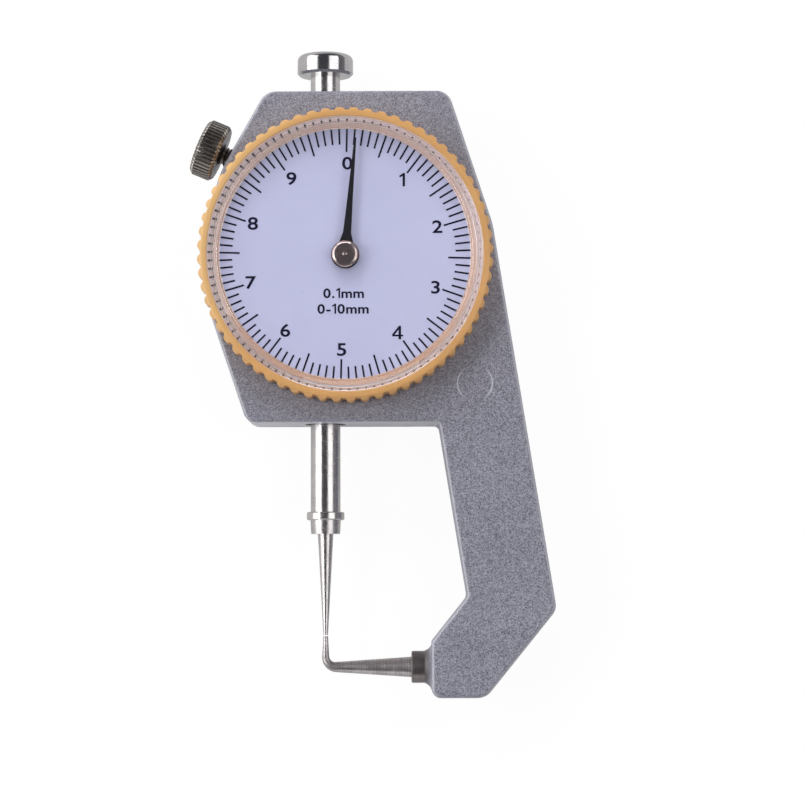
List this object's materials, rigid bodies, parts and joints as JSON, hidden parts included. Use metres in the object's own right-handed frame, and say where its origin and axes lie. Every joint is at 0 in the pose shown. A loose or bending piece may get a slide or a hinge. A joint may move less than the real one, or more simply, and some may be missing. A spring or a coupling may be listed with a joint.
{
  "type": "thickness gauge",
  "caption": "Dial thickness gauge: C-shaped frame, sprung needle spindle over a bent needle anvil, rack-driven hand, turning bezel and lock screw.",
  "frame": {"origin": "on the flat back face, on the axis of the hand's arbor, with the gauge lying on its back", "axes": "+Z out of the dial, +Y the way the spindle lifts, +X towards the arm of the frame"},
  "size_m": [0.0536, 0.0956, 0.0175],
  "materials": {
    "frame_paint": "fine hammered grey paint",
    "cover_paint": "smooth grey paint",
    "screw_steel": "turned steel",
    "spring_steel": "drawn wire",
    "brass": "turned",
    "spindle_steel": "ground and polished",
    "contact_steel": "ground",
    "anvil_steel": "ground",
    "collar_steel": "dark turned steel",
    "button_chrome": "bright nickel",
    "knob_nickel": "knurled nickel",
    "bezel_yellow": "satin orange-yellow",
    "crystal_clear": "clear moulded window",
    "dial_print": "matt lavender",
    "hand_paint": "matt black",
    "hub_steel": "turned steel"
  },
  "bodies": {
    "case": {"frame": "frame_paint", "back_cover": "cover_paint", "cover_screws": "screw_steel", "movement_bridge": "brass", "bridge_screws": "screw_steel", "rear_bearing": "brass", "front_bearing": "brass", "upper_bush": "brass", "lower_bush": "brass", "spindle_guide": "brass", "guide_screws": "screw_steel", "spring_post": "screw_steel", "return_spring": "spring_steel", "hairspring": "spring_steel", "hairspring_stud": "brass", "bezel_snap_ring": "spring_steel", "anvil_needle": "anvil_steel", "anvil_collar": "collar_steel"},
    "spindle": {"spindle_rod": "spindle_steel", "lifting_button": "button_chrome", "stop_collar": "spindle_steel", "contact_needle": "contact_steel", "guide_pin": "screw_steel"},
    "pointer": {"pinion_arbor": "spindle_steel", "hairspring_collet": "brass", "pointer_hand": "hand_paint", "pointer_hub": "hub_steel"},
    "bezel": {"bezel_ring": "bezel_yellow", "dial_face": "dial_print", "crystal": "crystal_clear"},
    "lock_screw": {"lock_screw": "knob_nickel"}
  },
  "joints": [
    {"name": "spindle_slide", "type": "slide", "parent": "case", "child": "spindle", "axis": [0, 1, 0], "range_m": [0, 0.01], "stiffness_N_per_m": 50, "springref_m": -0.014, "deforming": ["return_spring"]},
    {"name": "pointer_spin", "type": "hinge", "parent": "case", "child": "pointer", "pos_m": [0, 0, 0.006], "axis": [0, 0, -1], "range_deg": [-1, 361]},
    {"name": "bezel_turn", "type": "hinge", "parent": "case", "child": "bezel", "pos_m": [0, 0, 0.014], "axis": [0, 0, 1], "continuous": true},
    {"name": "lock_screw_turn", "type": "hinge", "parent": "case", "child": "lock_screw", "pos_m": [-0.02004, 0.01624, 0.0096], "axis": [-0.9205, 0.3907, 0], "range_deg": [0, 360]}
  ],
  "couplings": [
    {"joint": "pointer_spin", "follows": "spindle_slide", "rad_per_m": 628.32}
  ]
}
